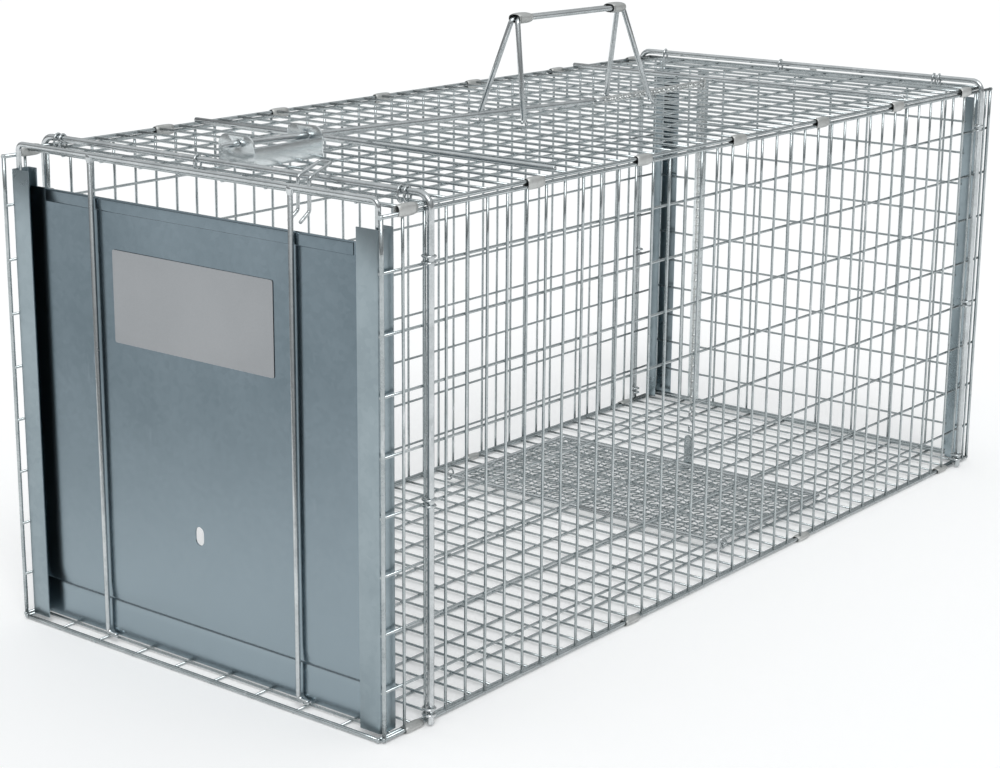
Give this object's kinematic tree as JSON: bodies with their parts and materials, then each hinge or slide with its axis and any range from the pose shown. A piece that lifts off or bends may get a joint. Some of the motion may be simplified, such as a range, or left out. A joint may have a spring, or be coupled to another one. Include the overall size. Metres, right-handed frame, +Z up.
{
  "type": "live catch trap",
  "caption": "Wire mesh box trap for a small animal, with a drop door, a treadle and chain that free its trigger rod, a door latch, a sliding rear gate and a carrying handle",
  "frame": {"origin": "on the ground under the middle of the trap's box", "axes": "+Z up, -Y towards the drop door, X across the trap with +X on the right seen from the door"},
  "size_m": [0.3576, 0.7918, 0.416],
  "materials": {
    "zinc_wire": "galvanised wire, bright, slightly uneven",
    "zinc_sheet": "galvanised sheet, satin, faint spangle",
    "clip_metal": "dull crimped metal",
    "label_plate": "matt pale film"
  },
  "bodies": {
    "cage": {"left_side_mesh": "zinc_wire", "right_side_mesh": "zinc_wire", "floor_mesh": "zinc_wire", "roof_mesh": "zinc_wire", "front_hoop": "zinc_wire", "rear_hoop": "zinc_wire", "front_frame_wire": "zinc_wire", "left_guard_wire": "zinc_wire", "right_guard_wire": "zinc_wire", "front_roof_brace": "zinc_wire", "rear_roof_brace": "zinc_wire", "left_handle_bail": "zinc_wire", "right_handle_bail": "zinc_wire", "left_treadle_ring": "zinc_wire", "right_treadle_ring": "zinc_wire", "chain_drop": "zinc_wire", "left_door_channel": "zinc_sheet", "right_door_channel": "zinc_sheet", "left_rear_channel": "zinc_sheet", "right_rear_channel": "zinc_sheet", "trigger_bracket": "zinc_sheet", "front_handle_sleeve": "clip_metal", "rear_handle_sleeve": "clip_metal", "left_top_clip_1": "clip_metal", "left_top_clip_2": "clip_metal", "left_top_clip_3": "clip_metal", "left_top_clip_4": "clip_metal", "left_top_clip_5": "clip_metal", "left_top_clip_6": "clip_metal", "left_top_clip_7": "clip_metal", "right_top_clip_1": "clip_metal", "right_top_clip_2": "clip_metal", "right_top_clip_3": "clip_metal", "right_top_clip_4": "clip_metal", "right_top_clip_5": "clip_metal", "right_top_clip_6": "clip_metal", "right_top_clip_7": "clip_metal", "left_bottom_clip_1": "clip_metal", "left_bottom_clip_2": "clip_metal", "left_bottom_clip_3": "clip_metal", "left_bottom_clip_4": "clip_metal", "right_bottom_clip_1": "clip_metal", "right_bottom_clip_2": "clip_metal", "right_bottom_clip_3": "clip_metal", "right_bottom_clip_4": "clip_metal"},
    "door": {"door_panel": "zinc_sheet", "door_label": "label_plate"},
    "door_lock": {"door_lock": "zinc_wire"},
    "trigger_rod": {"trigger_rod": "zinc_wire", "chain_roof_run": "zinc_wire"},
    "treadle": {"treadle_frame": "zinc_wire", "treadle_mesh": "zinc_wire"},
    "chain_hook": {"s_hook": "zinc_wire", "treadle_link": "zinc_sheet"},
    "rear_gate": {"rear_gate_mesh": "zinc_wire", "rear_gate_strip": "zinc_sheet", "rear_gate_knob": "clip_metal"}
  },
  "joints": [
    {"name": "door_drop", "type": "slide", "parent": "cage", "child": "door", "axis": [0, 0, 1], "range_m": [0, 0.2575]},
    {"name": "latch_swing", "type": "hinge", "parent": "cage", "child": "door_lock", "pos_m": [0.086, -0.36805, 0.341], "axis": [1, 0, 0], "range_deg": [-5, 35]},
    {"name": "treadle_tilt", "type": "hinge", "parent": "cage", "child": "treadle", "pos_m": [0, 0.04295, 0.0079], "axis": [1, 0, 0], "range_deg": [0, 12.6]},
    {"name": "trigger_set", "type": "slide", "parent": "cage", "child": "trigger_rod", "axis": [0, -0.9996, 0.0288], "range_m": [0, 0.0341]},
    {"name": "chain_lift", "type": "slide", "parent": "cage", "child": "chain_hook", "axis": [0, 0, 1], "range_m": [0, 0.0341], "deforming": ["chain_drop"]},
    {"name": "gate_lift", "type": "slide", "parent": "cage", "child": "rear_gate", "axis": [0, 0, 1], "range_m": [0, 0.3]}
  ],
  "couplings": [
    {"joint": "trigger_set", "follows": "treadle_tilt", "m_per_rad": 0.155},
    {"joint": "chain_lift", "follows": "treadle_tilt", "m_per_rad": 0.155}
  ]
}
